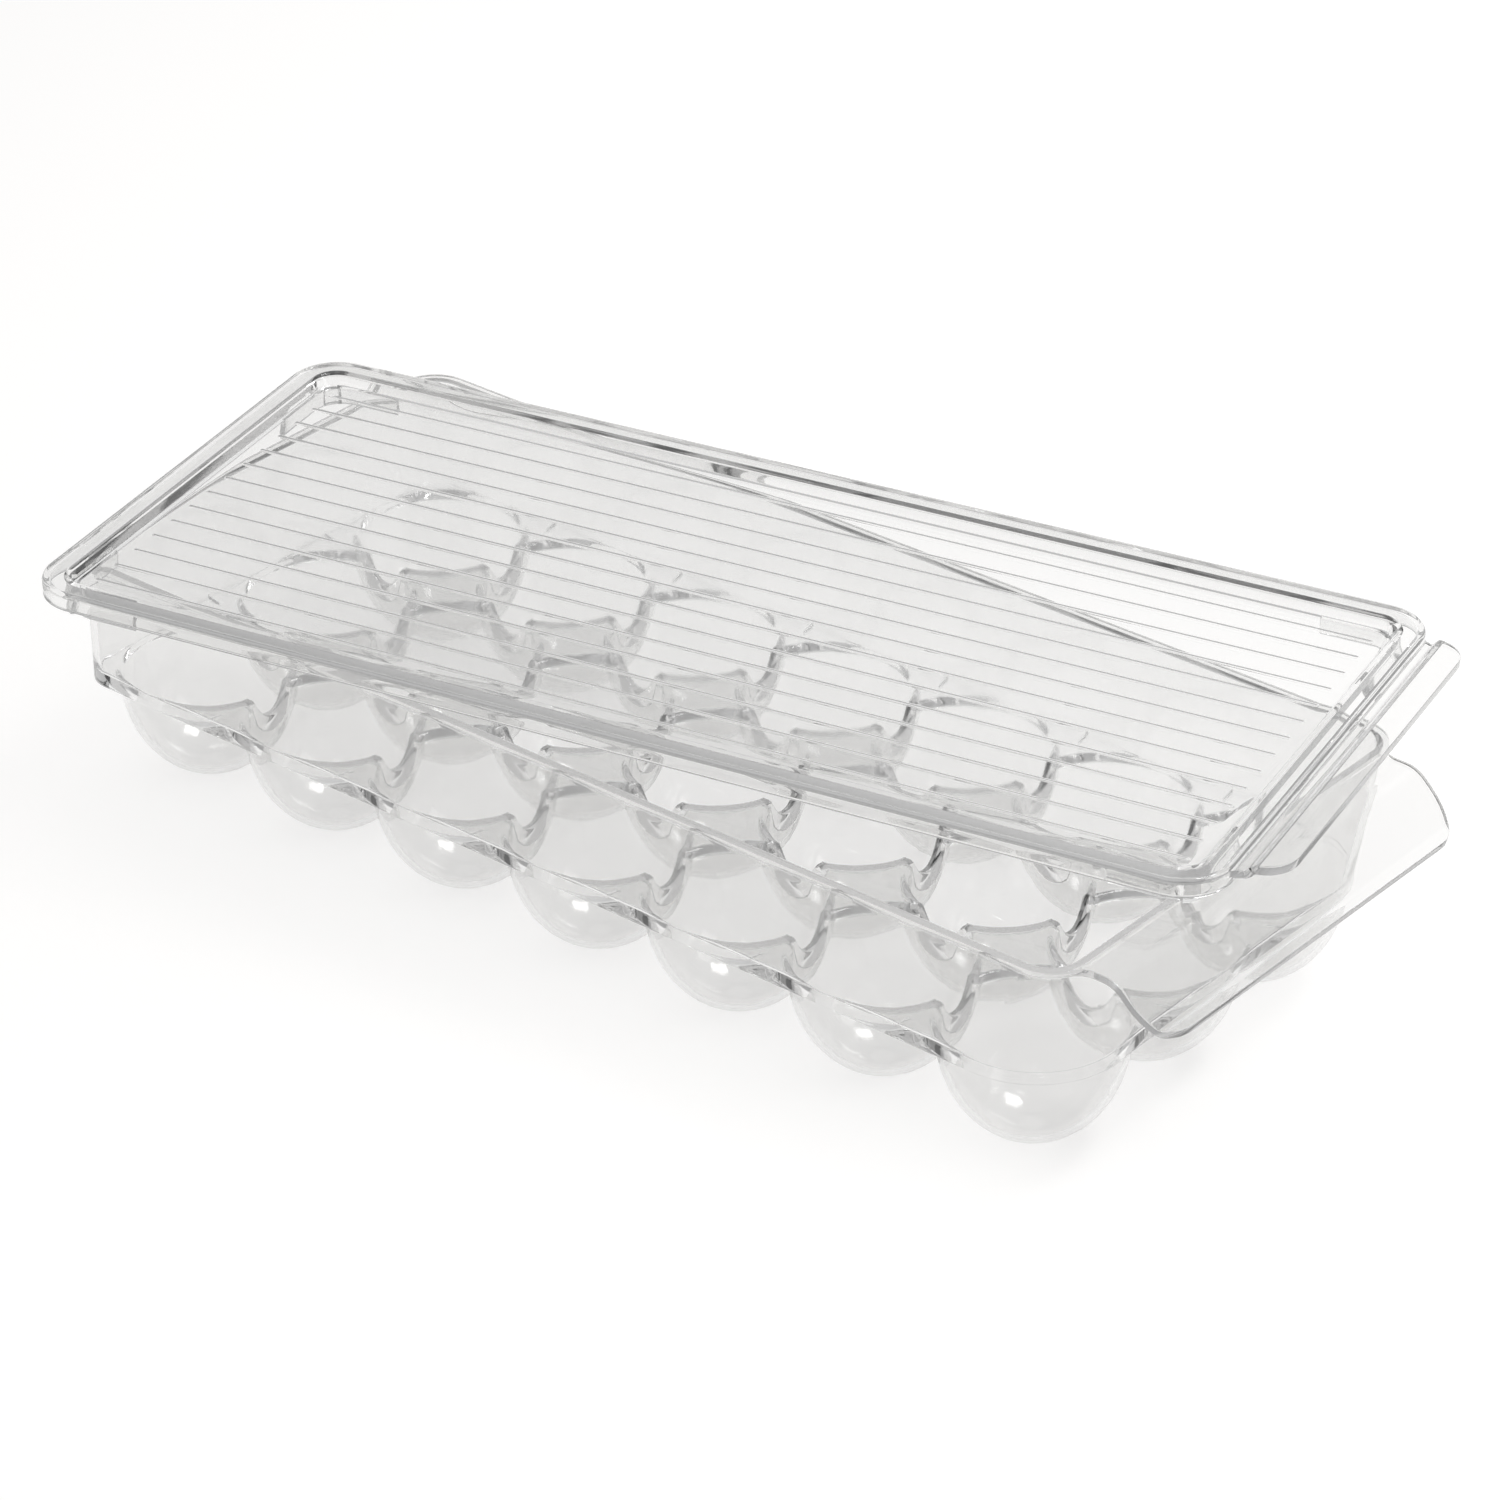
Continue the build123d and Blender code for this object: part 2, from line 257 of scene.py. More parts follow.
def cupSkin(outside):
    # one skin of all the cups and the deck between them
    rings = tray["outsideRings"] if outside else tray["insideRings"]
    wall = tray["footOutside"] if outside else tray["footInside"]
    half = grid["cupPitch"] / 2
    pattern = spokesAndRings(rings)
    skin = bmesh.new()
    for row in range(grid["cupsWide"]):
        for column in range(grid["cupsLong"]):
            centreX = (column - (grid["cupsLong"] - 1) / 2) * grid["cupPitch"]
            centreY = (row - (grid["cupsWide"] - 1) / 2) * grid["cupPitch"]
            sides = [
                (wall, True) if atEnd else (half, False)
                for atEnd in (
                    column == grid["cupsLong"] - 1, row == grid["cupsWide"] - 1,
                    column == 0, row == 0,
                )
            ]
            cell = pattern.copy()
            for vert in cell.verts:
                ring = round(hypot(vert.co.x, vert.co.y))
                spoke = round(atan2(vert.co.y, vert.co.x) / (2 * pi) * spokeCount) % spokeCount
                edgeX, edgeY, notch, atWall = cellEdge(spoke, sides)
                reach = hypot(edgeX, edgeY)
                if outside:
                    radius, height = outsidePoint(ring, reach)
                else:
                    radius, height = insidePoint(ring, reach, notch, atWall)
                vert.co = (
                    centreX + edgeX / reach * radius,
                    centreY + edgeY / reach * radius,
                    grid["widestZ"] + height,
                )
            append(skin, cell)
    pattern.free()
    bmesh.ops.remove_doubles(skin, verts=skin.verts, dist=nearMm)
    return skin


def railPoint(home, offset, radii, height):
    # moves a point of the foot's inner outline to another outline round the tray
    alongX, alongY = abs(home.x), abs(home.y)
    atEnd = alongX > endX - nearMm
    atSide = alongY > endY - nearMm
    if atEnd and atSide:
        left = home.x < 0
        radius = radii[left]
        arcAt = tray["footInside"] - footRadius(tray["footInside"], left)
        past = Vector((alongX - endX - arcAt, alongY - endY - arcAt))
        straight = offset - radius
        if past.y < -nearMm:
            alongX, alongY = endX + offset, endY + straight * (1 + past.y / arcAt)
        elif past.x < -nearMm:
            alongX, alongY = endX + straight * (1 + past.x / arcAt), endY + offset
        else:
            turn = atan2(past.y, past.x)
            alongX = endX + straight + radius * cos(turn)
            alongY = endY + straight + radius * sin(turn)
    elif atEnd:
        alongX = endX + offset
    else:
        alongY = endY + offset
    x = alongX if home.x > 0 else -alongX
    y = alongY if home.y > 0 else -alongY
    return Vector((x, y, height))


def wallRails():
    # offset, corner radii (right and left) and height of each outline, up the inside and
    # down the outside
    wallHeight = grid["rimTop"] - grid["deckTop"]
    bend = tray["rimBend"]

    def wallRail(foot, topRadius, share):
        # an outline part of the way up the wall
        radii = [
            radius + (topRadius - radius) * share
            for radius in (footRadius(foot, False), footRadius(foot, True))
        ]
        return foot + tray["wallLean"] * share, radii, grid["deckTop"] + wallHeight * share

    rails = [
        wallRail(tray["footInside"], tray["topInsideRadius"], share)
        for share in (*tray["wallShares"], 1 - bend / wallHeight)
    ]
    for turn in (pi / 6, pi / 3, pi / 2):
        out = bend * (1 - cos(turn))
        rails.append((
            tray["footInside"] + tray["wallLean"] + out, [tray["topInsideRadius"] + out] * 2,
            grid["rimTop"] - bend * (1 - sin(turn)),
        ))
    for height in (grid["rimTop"], grid["rimTop"] - tray["rimThickness"]):
        rails.append((tray["rimOffset"], [tray["rimRadius"]] * 2, height))
    for share in (1 - tray["rimThickness"] / wallHeight, *reversed(tray["wallShares"]), 0):
        rails.append(wallRail(tray["footOutside"], tray["topOutsideRadius"], share))
    foot, radii, _ = rails[-1]
    rails.append((foot, radii, grid["deckBottom"]))
    return rails


handle = {
    "rootTurn": 27.5,       # degrees of the rim's corners that run into the handle
    "level": 10.0,
    "run": 11.8,
    "drop": 11.2,
    "lip": 3.8,
    "lipDrop": 0.6,
    "bendRadius": 9.0,
    "lipRadius": 3.0,
    "halfWidth": 65.5,
    "cornerRadius": 11.0,
    "blendRadius": 5.0,
    "thickness": 2.0,
}
plateRows = {
    "rootSteps": (0.3, 1.2, 2.4, 3.8),  # where the edge curves away from its root
    "cornerStep": 10,                   # degrees
    "least": 0.12,                      # closer rows are left out
}
tinyMm = 1e-6


def bentLine(corners, radii, stepAngle=radians(7)):
    # a line with rounded corners: a list of points and their directions, in two dimensions
    line = []
    for index, corner in enumerate(corners):
        corner = Vector(corner)
        if index in (0, len(corners) - 1):
            side = Vector(corners[1]) - corner if index == 0 else corner - Vector(corners[-2])
            line.append((corner, side.normalized()))
            continue
        before = (corner - Vector(corners[index - 1])).normalized()
        after = (Vector(corners[index + 1]) - corner).normalized()
        turn = before.angle_signed(after)
        radius = radii[index - 1]
        start = corner - before * radius * tan(abs(turn) / 2)
        steps = max(2, round(abs(turn) / stepAngle))
        point, heading = start, before
        line.append((point, heading))
        for _ in range(steps):
            middle = heading.copy()
            middle.rotate(Matrix.Rotation(-turn / steps / 2, 2))
            point = point + middle * 2 * radius * sin(abs(turn) / steps / 2)
            heading = heading.copy()
            heading.rotate(Matrix.Rotation(-turn / steps, 2))
            line.append((point, heading))
    return line


def placeOnLine(line, x):
    # point and direction of a bent line at a given X
    for (start, heading), (end, nextHeading) in zip(line, line[1:]):
        if x <= end.x + tinyMm:
            share = (x - start.x) / max(end.x - start.x, tinyMm)
            return start.lerp(end, share), heading.lerp(nextHeading, share).normalized()
    return line[-1]


def plateHalfWidth(x, plate, corner, radius, plateEnd):
    # half width of a plate that grows out of rounded corners and ends in rounded corners
    blend, endRadius = plate["blendRadius"], plate["cornerRadius"]
    blendY = plate["halfWidth"] + blend
    blendX = corner.x + sqrt((radius + blend) ** 2 - (blendY - corner.y) ** 2)
    if x < blendX:
        return blendY - sqrt(max(blend**2 - (blendX - x) ** 2, 0))
    into = max(x - plateEnd + endRadius, 0)
    return plate["halfWidth"] - endRadius + sqrt(max(endRadius**2 - into**2, 0))


def plateStations(line, plate, firstX, plateEnd):
    # distances at which a plate gets a row of points: at its bends and round its corners
    stations = [point.x for point, _ in line if firstX < point.x < plateEnd]
    endRadius = plate["cornerRadius"]
    stations += [
        plateEnd - endRadius + endRadius * sin(radians(turn))
        for turn in range(0, 91, plateRows["cornerStep"])
    ]
    stations += [firstX + step for step in plateRows["rootSteps"]]
    kept = []
    for x in sorted(stations):
        if not kept or x - kept[-1] > plateRows["least"]:
            kept.append(x)
    kept[-1] = plateEnd
    return kept


def growPlate(bm, faces, plate, line, corner, radius, plateEnd):
    # extrudes a strip of faces along a bent line, which is the plate's upper surface; home
    # keeps a point's share of the width and, in z, whether it is on the upper surface
    home = bm.verts.layers.float_vector.get("home")
    rootVerts = {vert for face in faces for vert in face.verts}
    middleZ = sum(vert.co.z for vert in rootVerts) / len(rootVerts)
    rootWidth = max(vert.co.y for vert in rootVerts)
    firstX = max(vert.co.x for vert in rootVerts)
    for vert in rootVerts:
        vert[home] = (0, vert.co.y / rootWidth, vert.co.z > middleZ)
    for x in plateStations(line, plate, firstX, plateEnd):
        grown = bmesh.ops.extrude_face_region(bm, geom=faces)
        bmesh.ops.delete(bm, geom=faces, context="FACES")
        faces = [item for item in grown["geom"] if isinstance(item, bmesh.types.BMFace)]
        point, heading = placeOnLine(line, x)
        width = plateHalfWidth(x, plate, corner, radius, plateEnd)
        for item in grown["geom"]:
            if isinstance(item, bmesh.types.BMVert):
                down = 0 if item[home].z else plate["thickness"]
                item.co = (
                    x + heading.y * down,
                    item[home].y * width,
                    point.y - heading.x * down,
                )


def roundEdges(bm, edges, size, segments=3):
    bmesh.ops.bevel(
        bm, geom=edges, offset=size, offset_type="OFFSET", segments=segments, profile=0.5,
        affect="EDGES", clamp_overlap=True, material=-1,
    )


def isCorner(edge, degreesLeast=50):
    # a sharp edge that stands out
    return len(edge.link_faces) == 2 and edge.calc_face_angle_signed(0) > radians(degreesLeast)


traySkin = cupSkin(outside=False)
print("inside of the cups made")
home = traySkin.verts.layers.float_vector.new("home")
rail = [edge for edge in traySkin.edges if edge.is_boundary]
for vert in {vert for edge in rail for vert in edge.verts}:
    vert[home] = vert.co
for offset, radii, height in wallRails():
    grown = bmesh.ops.extrude_edge_only(traySkin, edges=rail)
    rail = [item for item in grown["geom"] if isinstance(item, bmesh.types.BMEdge)]
    for vert in {vert for edge in rail for vert in edge.verts}:
        vert.co = railPoint(vert[home], offset, radii, height)
append(traySkin, cupSkin(outside=True))
bmesh.ops.remove_doubles(traySkin, verts=traySkin.verts, dist=nearMm)
print("walls and outside made")

rimCorner = Vector((
    endX + tray["rimOffset"] - tray["rimRadius"], endY + tray["rimOffset"] - tray["rimRadius"],
))
rimEndX = endX + tray["rimOffset"]
handleEnd = rimEndX + handle["level"] + handle["run"] + handle["lip"]
handleLine = bentLine(
    (
        (endX, grid["rimTop"]),
        (rimEndX + handle["level"], grid["rimTop"]),
        (rimEndX + handle["level"] + handle["run"], grid["rimTop"] - handle["drop"]),
        (handleEnd, grid["rimTop"] - handle["drop"] - handle["lipDrop"]),
    ),
    (handle["bendRadius"], handle["lipRadius"]),
)


def isHandleRoot(face):
    # the rim's outer side, from one of its right corners to the other
    if abs(face.calc_center_median().z - grid["rimTop"] + tray["rimThickness"] / 2) > nearMm:
        return False
    for vert in face.verts:
        aside = Vector((vert.co.x, abs(vert.co.y))) - rimCorner
        turn = atan2(aside.y, aside.x)
        onSide = abs(vert.co.x - rimEndX) < nearMm and aside.y <= 0
        onArc = abs(aside.length - tray["rimRadius"]) < nearMm
        if not (onSide or (onArc and 0 <= turn < radians(handle["rootTurn"]))):
            return False
    return True


bmesh.ops.recalc_face_normals(traySkin, faces=traySkin.faces)
growPlate(
    traySkin, [face for face in traySkin.faces if isHandleRoot(face)], handle, handleLine,
    rimCorner, tray["rimRadius"], handleEnd,
)
bmesh.ops.recalc_face_normals(traySkin, faces=traySkin.faces)
underHandle = handleLine[-1][0].y - handle["thickness"] - tray["edgeRound"]


def isPlateEdge(edge):
    # a corner of the rim or the handle
    return isCorner(edge) and min(vert.co.z for vert in edge.verts) > underHandle


def isDeckEdge(edge):
    # the lower corner of the deck, all round
    atDeck = all(abs(vert.co.z - grid["deckBottom"]) < nearMm for vert in edge.verts)
    return atDeck and isCorner(edge, degreesLeast=80)


for isRounded in (isPlateEdge, isDeckEdge):
    rounded = [edge for edge in traySkin.edges if isRounded(edge)]
    roundEdges(traySkin, rounded, tray["edgeRound"])
print("handle made")

# ---- Lid ----
lid = {
    "halfX": 173.5,
    "halfY": 77.5,
    "cornerRadius": 14.1,
    "panelTop": 75.4,
    "panelThickness": 2.0,
    "ridgeHeight": 3.5,
    "ridgeInner": 7.0,          # insets from the lid's outline
    "panelInner": 9.5,
    "panelRadius": 4.6,
    "skirt": 2.0,
    "channelInner": 6.2,
    "channelTop": 1.5,
    "softEdge": 0.35,           # size of the round edges drawn in its section
    "edgeRound": 0.4,
    "turn": 12.4,               # how it lies on the tray
    "shift": (-1.4, 7.0),
    "cornerSteps": 8,           # grid lines that turn round half of each corner
}
rib = {
    "outer": 7.0,
    "thickness": 1.6,
    "depth": 5.0,
    "cornerRadius": 10.0,
    "legX": 24.0,
    "legY": 27.0,
}
groove = {
    "count": 14,
    "pitch": 9.42,
    "length": 321.3,
    "width": 1.8,
    "depth": 0.2,
    "slopeShare": 0.9,          # of half its width
    # lines of the panel's grid, in half widths from a groove's middle and from its end
    "acrossShares": (-1.15, -1, -0.82, -0.62, -0.3, 0.3, 0.62, 0.82, 1, 1.15),
    "endShares": (2, 1.3, 0.95, 0.75, 0.55, 0.38, 0.18, 0, -0.6),
    "plainLines": (60.0, 110.0),    # and between the ends of the grooves
    "sideLine": 63.0,               # and just outside the outermost groove
}
tab = {
    "reach": 13.5,
    "rise": 0.6,
    "thickness": 2.2,
    "halfWidth": 63.5,
    "cornerRadius": 9.0,
    "blendRadius": 4.0,
    "rootTurn": 13.0,
    "rootTop": 2.5,             # where it leaves the lid's side
    "rootRise": 0.2,
    "gutter": 2.2,              # height of the gutter between the lid's edge and the tab
    "gutterBends": (1.0, 2.8, 4.6),     # where it starts, ends and has risen to the tab
    "bendRadii": (1.0, 1.2, 1.2),
    "bendStep": 15,             # degrees
}
lidCorner = Vector((lid["halfX"] - lid["cornerRadius"], lid["halfY"] - lid["cornerRadius"]))
legEndX = lid["halfX"] - rib["outer"] - rib["legX"]
legEndY = lid["halfY"] - rib["outer"] - rib["legY"]


def lidPoint(home, inset, radius, height):
    # a point of an outline drawn in from the lid's; home is as cornerPlace gives it
    sideX, sideY = lid["halfX"] - inset, lid["halfY"] - inset
    if home.z >= 0:
        turn = pi / 4 * home.z / lid["cornerSteps"]
        x = sideX - radius + radius * cos(turn)
        y = sideY - radius + radius * sin(turn)
        return Vector((home.x * x, home.y * y, height))
    if abs(home.x) > legEndX + nearMm:
        return Vector((sideX if home.x > 0 else -sideX, home.y, height))
    return Vector((home.x, sideY if home.y > 0 else -sideY, height))


def lidSection():
    # inset, corner radius and height of each outline, from the panel out, round and under
    ridge, bottom = lid["ridgeHeight"], -lid["panelThickness"]
    inner, outer, soft = lid["ridgeInner"], lid["cornerRadius"], lid["softEdge"]
    panel, panelRadius = lid["panelInner"], lid["panelRadius"]
    slope = outer - inner       # corner radius at the top of the slope
    skirt, channel, top = lid["skirt"], lid["channelInner"], lid["channelTop"]
    return [
        (panel + 0.5, panelRadius - 0.5, 0),
        (panel, panelRadius, 0.12),
        (panel - soft, panelRadius + soft, 0.45),
        (inner + 0.45, slope - 0.45, ridge - 0.5),
        (inner, slope, ridge - 0.12),
        (inner - 0.6, slope + 0.6, ridge),
        (1.5, outer - 1.5, ridge),
        (0.75, outer - 0.75, ridge - 0.1),
        (0.25, outer - 0.25, ridge - 0.45),
        (0, outer, tab["rootTop"]),
        (0, outer, tab["rootTop"] - tab["thickness"] + tab["rootRise"]),
        (0, outer, bottom + soft),
        (soft, outer - soft, bottom),
        (skirt - soft, outer - skirt + soft, bottom),
        (skirt, outer - skirt, bottom + soft),
        (skirt, outer - skirt, top - soft),
        (skirt + soft, outer - skirt - soft, top),
        (channel - soft, outer - channel + soft, top),
        (channel, outer - channel, top - soft),
        (channel, outer - channel, bottom),
        (rib["outer"], rib["cornerRadius"], bottom),
        (rib["outer"] + rib["thickness"], rib["cornerRadius"] - rib["thickness"], bottom),
    ]


def grooveMiddle(row):
    return (row - (groove["count"] - 1) / 2) * groove["pitch"]


def grooveHeight(x, y):
    # how far a point of the panel lies in a groove
    row = round(y / groove["pitch"] + (groove["count"] - 1) / 2)
    row = min(max(row, 0), groove["count"] - 1)
    half = groove["width"] / 2
    beyond = max(abs(x) - groove["length"] / 2 + half, 0)
    into = (half - hypot(beyond, y - grooveMiddle(row))) / (groove["slopeShare"] * half)
    into = min(max(into, 0), 1)
    return -groove["depth"] * into * into * (3 - 2 * into)


def panelStations():
    # lines of the panel's grid: across the grooves, and close together at their ends
    half = groove["width"] / 2
    across = [-groove["sideLine"], -legEndY, legEndY, groove["sideLine"]]
    for row in range(groove["count"]):
        across += [grooveMiddle(row) + half * share for share in groove["acrossShares"]]
    along = [*groove["plainLines"], legEndX]
    along += [groove["length"] / 2 - half * share for share in groove["endShares"]]
    along += [-x for x in along]
    return sorted([0.0, *along]), sorted(across)


def cornerPlace(vert, fromEndX, fromEndY):
    # the signs of a vert's corner and its step round it, or its own place on a straight side
    steps = lid["cornerSteps"]
    signX, signY = (1 if vert.co.x > 0 else -1), (1 if vert.co.y > 0 else -1)
    if fromEndX == 0 and fromEndY <= steps:
        return signX, signY, steps - fromEndY
    if fromEndY == 0 and fromEndX <= steps:
        return signX, signY, steps + fromEndX
    return vert.co.x, vert.co.y, -1


along, across = panelStations()
lidSkin = bmesh.new()
home = lidSkin.verts.layers.float_vector.new("home")
bmesh.ops.create_grid(
    lidSkin, x_segments=len(along) - 1, y_segments=len(across) - 1, size=1.0,
)
for vert in lidSkin.verts:
    column = round((vert.co.x + 1) / 2 * (len(along) - 1))
    row = round((vert.co.y + 1) / 2 * (len(across) - 1))
    vert.co = (along[column], across[row], grooveHeight(along[column], across[row]))
    vert[home] = cornerPlace(
        vert, min(column, len(along) - 1 - column), min(row, len(across) - 1 - row),
    )
rail = [edge for edge in lidSkin.edges if edge.is_boundary]
for inset, radius, height in lidSection():
    grown = bmesh.ops.extrude_edge_only(lidSkin, edges=rail)
    rail = [item for item in grown["geom"] if isinstance(item, bmesh.types.BMEdge)]
    for vert in {vert for edge in rail for vert in edge.verts}:
        vert.co = lidPoint(vert[home], inset, radius, height)
bmesh.ops.contextual_create(lidSkin, geom=rail)
bmesh.ops.recalc_face_normals(lidSkin, faces=lidSkin.faces)


def isTabRoot(face):
    # the lid's outer side that the tab grows from, between and a little round its corners
    middle = face.calc_center_median()
    if middle.x < lid["halfX"] - lid["skirt"] or not 0 < middle.z < tab["rootTop"]:
        return False
    for vert in face.verts:
        aside = Vector((vert.co.x, abs(vert.co.y))) - lidCorner
        offArc = abs(aside.length - lid["cornerRadius"]) > nearMm
        tooFar = atan2(aside.y, aside.x) > radians(tab["rootTurn"])
        if abs(vert.co.z - middle.z) > tab["thickness"] / 2:
            return False
        if aside.y > nearMm and (offArc or tooFar):
            return False
    return True


def isRibRoot(face):
    # the strip under each corner of the panel that a rib grows from
    offPanel = abs(face.calc_center_median().z + lid["panelThickness"]) > nearMm
    if offPanel or len(face.verts) != 4:
        return False
    for vert in face.verts:
        alongX, alongY = abs(vert.co.x), abs(vert.co.y)
        if alongX < legEndX - nearMm or alongY < legEndY - nearMm:
            return False
        if min(lid["halfX"] - alongX, lid["halfY"] - alongY) < rib["outer"] - nearMm:
            return False
    return True


tabEnd = lid["halfX"] + tab["reach"]
tabTop = lid["ridgeHeight"] + tab["rise"]
gutterStart, gutterEnd, tabStart = (lid["halfX"] + x for x in tab["gutterBends"])
tabLine = bentLine(
    (
        (lid["halfX"], tab["rootTop"]),
        (gutterStart, tab["gutter"]),
        (gutterEnd, tab["gutter"]),
        (tabStart, tabTop),
        (tabEnd + nearMm, tabTop),
    ),
    tab["bendRadii"], radians(tab["bendStep"]),
)
growPlate(
    lidSkin, [face for face in lidSkin.faces if isTabRoot(face)], tab, tabLine, lidCorner,
    lid["cornerRadius"], tabEnd,
)
ribFaces = [face for face in lidSkin.faces if isRibRoot(face)]
grown = bmesh.ops.extrude_face_region(lidSkin, geom=ribFaces)
bmesh.ops.delete(lidSkin, geom=ribFaces, context="FACES")
bmesh.ops.translate(
    lidSkin, vec=(0, 0, -rib["depth"]),
    verts=[item for item in grown["geom"] if isinstance(item, bmesh.types.BMVert)],
)
bmesh.ops.recalc_face_normals(lidSkin, faces=lidSkin.faces)
roundEdges(lidSkin, [edge for edge in lidSkin.edges if isCorner(edge)], lid["edgeRound"])
lidTurn = Matrix.Rotation(radians(lid["turn"]), 3, "Z")
bmesh.ops.rotate(lidSkin, verts=lidSkin.verts, cent=(0, 0, 0), matrix=lidTurn)
bmesh.ops.translate(lidSkin, verts=lidSkin.verts, vec=(*lid["shift"], lid["panelTop"]))
print("lid made")

bodies = frame["record"]["behaviour"]["bodies"]
trayPiece = finishPiece(traySkin, "tray_moulding", "tray", bodies["tray"])
lidPiece = finishPiece(lidSkin, "lid_moulding", "lid", bodies["lid"])

# ---- Clear plastic ----
plastic = {
    "colour": (0.9, 0.9, 0.897, 1),
    "ior": 1.5,
    "roughnessLow": 0.02,       # the mould's polish varies a little
    "roughnessHigh": 0.06,
    "polishScale": 45.0,
    "polishDetail": 4.0,
    "polishFrom": 0.35,
    "polishTo": 0.7,
    "flowScale": 9.0,           # soft waves of the flowing plastic, across a metre
    "flowDetail": 2.0,
    "flowHeight": 0.00004,
    "shadow": (0.955, 0.955, 0.955, 1),     # what it lets through to the shadow
    "paintedEdgeShade": (0.58, 0.58, 0.58, 1),        # painted shade along edges and rims: what passes for a ray that ran along inside a wall
    "mostBends": 9,             # passes of a ray after which it goes straight on
    "mostMirrors": 2,           # and turns inside the wall after which it does
}


def addNode(tree, kind, **values):
    node = tree.nodes.new(kind)
    for key, value in values.items():
        setattr(node, key, value)
    return node


def mathNode(tree, operation, *values):
    # a calculation with numbers and sockets
    node = addNode(tree, "ShaderNodeMath", operation=operation)
    for socket, value in zip(node.inputs, values):
        if isinstance(value, bpy.types.NodeSocket):
            tree.links.new(value, socket)
        else:
            socket.default_value = value
    return node.outputs[0]


def anyOf(tree, first, *others):
    # 1 where one of the sockets is 1
    for other in others:
        first = mathNode(tree, "MAXIMUM", first, other)
    return first


# the mix node has one set of sockets for each kind of data: first, second and result
mixSockets = {"RGBA": (6, 7, 2), "FLOAT": (2, 3, 0)}


def mouldedSurface():
    # soft waves and a little unevenness in the polish, for any clear moulding
    group = bpy.data.node_groups.new("mouldedSurface", "ShaderNodeTree")
    for name, kind in (("Point", "NodeSocketVector"), ("Flow Scale", "NodeSocketFloat"),
                       ("Low", "NodeSocketFloat"), ("High", "NodeSocketFloat")):
        group.interface.new_socket(name, in_out="INPUT", socket_type=kind)
    for name in ("Roughness", "Height"):
        group.interface.new_socket(name, in_out="OUTPUT", socket_type="NodeSocketFloat")
    link = group.links.new
    given = addNode(group, "NodeGroupInput")
    result = addNode(group, "NodeGroupOutput")
    flow = addNode(group, "ShaderNodeTexNoise")
    flow.inputs["Detail"].default_value = plastic["flowDetail"]
    polish = addNode(group, "ShaderNodeTexNoise")
    polish.inputs["Scale"].default_value = plastic["polishScale"]
    polish.inputs["Detail"].default_value = plastic["polishDetail"]
    spread = addNode(group, "ShaderNodeMapRange")
    spread.inputs["From Min"].default_value = plastic["polishFrom"]
    spread.inputs["From Max"].default_value = plastic["polishTo"]
    link(given.outputs["Point"], flow.inputs["Vector"])
    link(given.outputs["Flow Scale"], flow.inputs["Scale"])
    link(given.outputs["Point"], polish.inputs["Vector"])
    link(polish.outputs["Fac"], spread.inputs["Value"])
    link(given.outputs["Low"], spread.inputs["To Min"])
    link(given.outputs["High"], spread.inputs["To Max"])
    link(spread.outputs["Result"], result.inputs["Roughness"])
    link(flow.outputs["Fac"], result.inputs["Height"])
    return group


def clearPlastic(name, surfaceGroup):
    material = bpy.data.materials.new(name)
    material.use_nodes = True
    tree = material.node_tree
    link = tree.links.new
    output = tree.nodes["Material Output"]
    shader = tree.nodes["Principled BSDF"]
    shader.inputs["Base Color"].default_value = plastic["colour"]
    shader.inputs["Transmission Weight"].default_value = 1.0
    shader.inputs["IOR"].default_value = plastic["ior"]
    place = addNode(tree, "ShaderNodeTexCoord")
    surface = addNode(tree, "ShaderNodeGroup", node_tree=surfaceGroup)
    surface.inputs["Flow Scale"].default_value = plastic["flowScale"]
    surface.inputs["Low"].default_value = plastic["roughnessLow"]
    surface.inputs["High"].default_value = plastic["roughnessHigh"]
    bump = addNode(tree, "ShaderNodeBump")
    bump.inputs["Distance"].default_value = plastic["flowHeight"]
    link(place.outputs["Object"], surface.inputs["Point"])
    link(surface.outputs["Roughness"], shader.inputs["Roughness"])
    link(surface.outputs["Height"], bump.inputs["Height"])
    link(bump.outputs["Normal"], shader.inputs["Normal"])
    # light passes to the shadow, and a much bent ray goes straight on
    path = addNode(tree, "ShaderNodeLightPath")
    passed, mirrored = path.outputs["Ray Depth"], path.outputs["Glossy Depth"]
    bends = mathNode(tree, "GREATER_THAN", passed, plastic["mostBends"])
    mirrors = mathNode(tree, "GREATER_THAN", mirrored, plastic["mostMirrors"])
    shadows, diffuse = path.outputs["Is Shadow Ray"], path.outputs["Is Diffuse Ray"]
    straight = anyOf(tree, shadows, diffuse, bends, mirrors)
    # painted shade: a ray that ran along inside a wall is darkened once, where it starts to go
    # straight on, which draws dark lines along edges and rims
    firstPass = mathNode(tree, "LESS_THAN", path.outputs["Transparent Depth"], 0.5)
    tint = addNode(tree, "ShaderNodeMix", data_type="RGBA")
    through = addNode(tree, "ShaderNodeBsdfTransparent")
    mix = addNode(tree, "ShaderNodeMixShader")
    first, second, result = mixSockets["RGBA"]
    tint.inputs[first].default_value = plastic["shadow"]
    tint.inputs[second].default_value = plastic["paintedEdgeShade"]
    # the painted edge shade goes only on a ray's first straight pass after turning inside a
    # wall
    link(mathNode(tree, "MULTIPLY", firstPass, mirrors), tint.inputs[0])
    link(tint.outputs[result], through.inputs["Color"])
    link(straight, mix.inputs["Fac"])
    link(shader.outputs["BSDF"], mix.inputs[1])
    link(through.outputs["BSDF"], mix.inputs[2])
    link(mix.outputs["Shader"], output.inputs["Surface"])
    return material


surfaceGroup = mouldedSurface()
trayPiece.data.materials.append(clearPlastic("clear_tray_plastic", surfaceGroup))
lidPiece.data.materials.append(clearPlastic("clear_lid_plastic", surfaceGroup))
print("plastic made")

